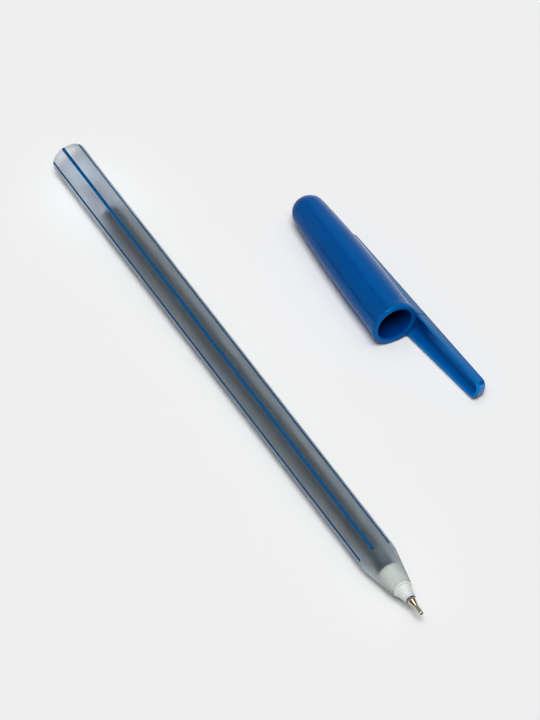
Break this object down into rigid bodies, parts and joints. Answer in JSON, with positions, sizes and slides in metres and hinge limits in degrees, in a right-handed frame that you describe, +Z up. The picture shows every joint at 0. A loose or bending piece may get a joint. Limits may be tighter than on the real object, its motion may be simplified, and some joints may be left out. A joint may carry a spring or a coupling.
{
  "type": "stick ballpoint pen",
  "caption": "Slim round stick ballpoint pen with a frosted striped barrel, dark ink refill and metal point, lying beside its blue bullet cap with a trough-shaped clip.",
  "frame": {"origin": "on the surface that the pen and its cap lie on, under the middle of the layout's bounding box", "axes": "+X along the pen towards its writing tip, +Y from the pen towards the cap, +Z up"},
  "size_m": [0.1452, 0.0466, 0.0103],
  "materials": {
    "frosted_plastic": "frosted and see-through",
    "stripe_blue": "co-extruded colour",
    "cap_blue": "polished moulding",
    "holder_white": "as moulded",
    "refill_clear": "milky and see-through",
    "ink": "dark ink",
    "follower": "clear grease with a violet tint",
    "nickel_silver": "turned and bright",
    "carbide": "ground and polished"
  },
  "bodies": {
    "pen": {"barrel": "frosted_plastic", "stripe_1": "stripe_blue", "stripe_2": "stripe_blue", "stripe_3": "stripe_blue", "stripe_4": "stripe_blue", "stripe_5": "stripe_blue", "stripe_6": "stripe_blue"},
    "refill": {"refill_tube": "refill_clear", "ink": "ink", "ink_follower": "follower", "tip_holder": "holder_white", "writing_tip": "nickel_silver"},
    "ball": {"ball": "carbide"},
    "cap": {"cap": "cap_blue"}
  },
  "joints": [
    {"name": "refill_pull", "type": "slide", "parent": "pen", "child": "refill", "axis": [1, 0, 0], "range_m": [0, 0.12]},
    {"name": "ball_roll", "type": "hinge", "parent": "refill", "child": "ball", "pos_m": [0.07229, -0.01949, 0.00385], "axis": [0, 1, 0], "continuous": true},
    {"name": "cap_slide", "type": "slide", "parent": "pen", "child": "cap", "axis": [0.9992, -0.0391, 0], "range_m": [0, 0.038]}
  ]
}
